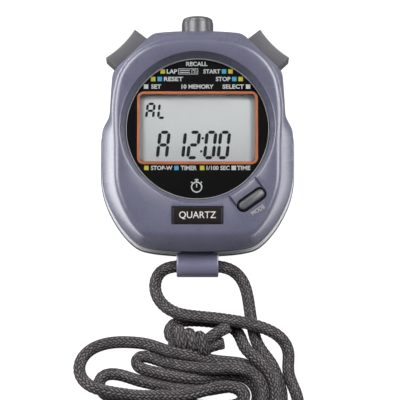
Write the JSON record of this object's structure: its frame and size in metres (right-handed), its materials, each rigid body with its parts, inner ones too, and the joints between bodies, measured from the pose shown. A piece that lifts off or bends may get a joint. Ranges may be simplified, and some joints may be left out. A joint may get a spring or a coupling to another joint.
{
  "type": "electronic stopwatch",
  "caption": "Hand-held electronic stopwatch with a round window, push buttons on top and shoulders, a mode button and a lug with a braided lanyard cord.",
  "frame": {"origin": "on the flat back of the rear case, under the centre of the dial", "axes": "+Z out of the face, +Y towards the top button, +X to the right of someone reading the display"},
  "size_m": [0.0782, 0.1475, 0.0191],
  "materials": {
    "case_plastic": "satin slate blue-grey moulded plastic with a fine even grain",
    "button_plastic": "satin neutral grey moulded plastic",
    "lens": "clear flat acrylic window",
    "dial_black": "black printed plate with small white lettering and coloured marks",
    "label_black": "black label plate",
    "display_glass": "pale grey reflective liquid crystal display",
    "holder_plastic": "white moulded plastic",
    "rubber": "black silicone rubber",
    "circuit_board": "green solder mask",
    "resin": "black potting resin",
    "steel": "plain bright steel",
    "brass": "bright brass",
    "cord_braid": "charcoal braided synthetic cord"
  },
  "bodies": {
    "case": {"front_case": "case_plastic", "rear_case": "case_plastic", "lanyard_lug": "case_plastic", "lens": "lens", "dial_plate": "dial_black", "label_plate": "label_black", "lcd_panel": "display_glass", "lcd_holder": "holder_plastic", "elastomer_strip_top": "rubber", "elastomer_strip_bottom": "rubber", "mode_return_sleeve": "rubber", "circuit_board": "circuit_board", "chip_blob": "resin", "quartz_crystal": "steel", "coin_cell": "steel", "battery_clip": "steel", "top_return_spring": "steel", "right_return_spring": "steel", "left_return_spring": "steel", "top_spring_seat": "steel", "right_spring_seat": "steel", "left_spring_seat": "steel", "case_screw_1": "steel", "case_screw_2": "steel", "case_screw_3": "steel", "case_screw_4": "steel", "board_screw_1": "steel", "board_screw_2": "steel", "board_screw_3": "steel", "battery_contact": "brass", "buzzer_disc": "brass", "buzzer_spring_left": "brass", "buzzer_spring_right": "brass", "top_switch_leaf": "brass", "right_switch_leaf": "brass", "left_switch_leaf": "brass", "mode_contact": "brass", "cord_left_lead": "cord_braid", "cord_right_lead": "cord_braid", "cord_knot_lead": "cord_braid", "cord_knot": "cord_braid", "cord_hank": "cord_braid"},
    "top_button": {"top_button": "button_plastic"},
    "right_button": {"right_button": "button_plastic"},
    "left_button": {"left_button": "button_plastic"},
    "mode_button": {"mode_button": "button_plastic"}
  },
  "joints": [
    {"name": "top_press", "type": "slide", "parent": "case", "child": "top_button", "axis": [0, -1, 0], "range_m": [0, 0.0015], "stiffness_N_per_m": 400, "springref_m": -0.001, "deforming": ["top_return_spring"]},
    {"name": "right_press", "type": "slide", "parent": "case", "child": "right_button", "axis": [-0.7071, -0.7071, 0], "range_m": [0, 0.0015], "stiffness_N_per_m": 400, "springref_m": -0.001, "deforming": ["right_return_spring"]},
    {"name": "left_press", "type": "slide", "parent": "case", "child": "left_button", "axis": [0.7071, -0.7071, 0], "range_m": [0, 0.0015], "stiffness_N_per_m": 400, "springref_m": -0.001, "deforming": ["left_return_spring"]},
    {"name": "mode_press", "type": "slide", "parent": "case", "child": "mode_button", "axis": [0, 0, -1], "range_m": [0, 0.0008], "stiffness_N_per_m": 500, "springref_m": -0.001, "deforming": ["mode_return_sleeve"]}
  ]
}
